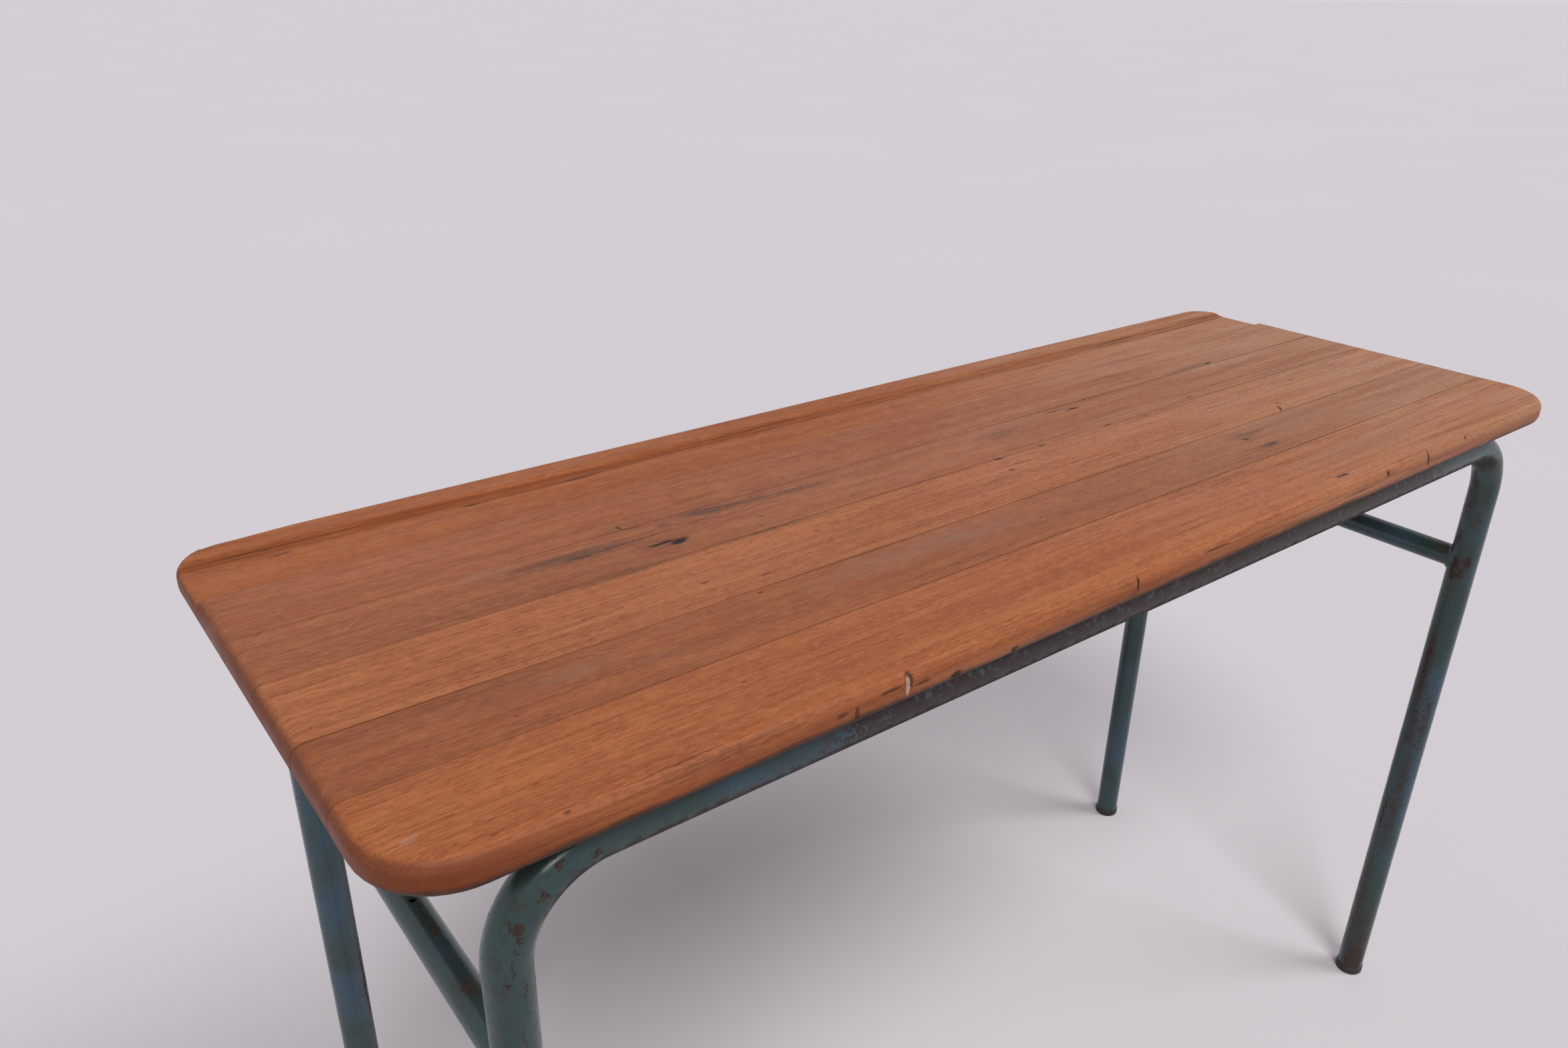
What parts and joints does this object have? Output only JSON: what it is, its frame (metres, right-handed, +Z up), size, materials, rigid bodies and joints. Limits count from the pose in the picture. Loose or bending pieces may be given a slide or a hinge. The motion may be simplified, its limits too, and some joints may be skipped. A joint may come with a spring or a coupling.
{
  "type": "double school desk",
  "caption": "Long school desk for two: a rounded oak top with a shallow pencil tray along the back, on two bent-tube leg frames joined by side rails.",
  "frame": {"origin": "on the floor, under the middle of the top", "axes": "+Z up, +X along the desk to the right of a pupil who sits at it, +Y away from the pupils towards the pencil tray"},
  "size_m": [1.3, 0.46, 0.805],
  "materials": {
    "oak": "worn satin varnish over solid oak, warm orange brown",
    "painted_steel": "old semi-gloss blue-green enamel, chipped and rubbed through to brown steel and rust",
    "screw_steel": "dull plated steel",
    "foot_plastic": "scuffed matt dark brown"
  },
  "bodies": {
    "root": {"top_board_1_front": "oak", "top_board_2": "oak", "top_board_3": "oak", "top_board_4": "oak", "top_board_5": "oak", "top_board_6_tray_rail": "oak", "front_leg_frame": "painted_steel", "rear_leg_frame": "painted_steel", "left_side_rail": "painted_steel", "right_side_rail": "painted_steel", "weld_beads": "painted_steel", "fixing_lug_front_left": "painted_steel", "fixing_lug_front_middle": "painted_steel", "fixing_lug_front_right": "painted_steel", "fixing_lug_rear_left": "painted_steel", "fixing_lug_rear_middle": "painted_steel", "fixing_lug_rear_right": "painted_steel", "foot_plug_front_left": "foot_plastic", "foot_plug_front_right": "foot_plastic", "foot_plug_rear_left": "foot_plastic", "foot_plug_rear_right": "foot_plastic", "top_screws": "screw_steel"}
  },
  "joints": []
}
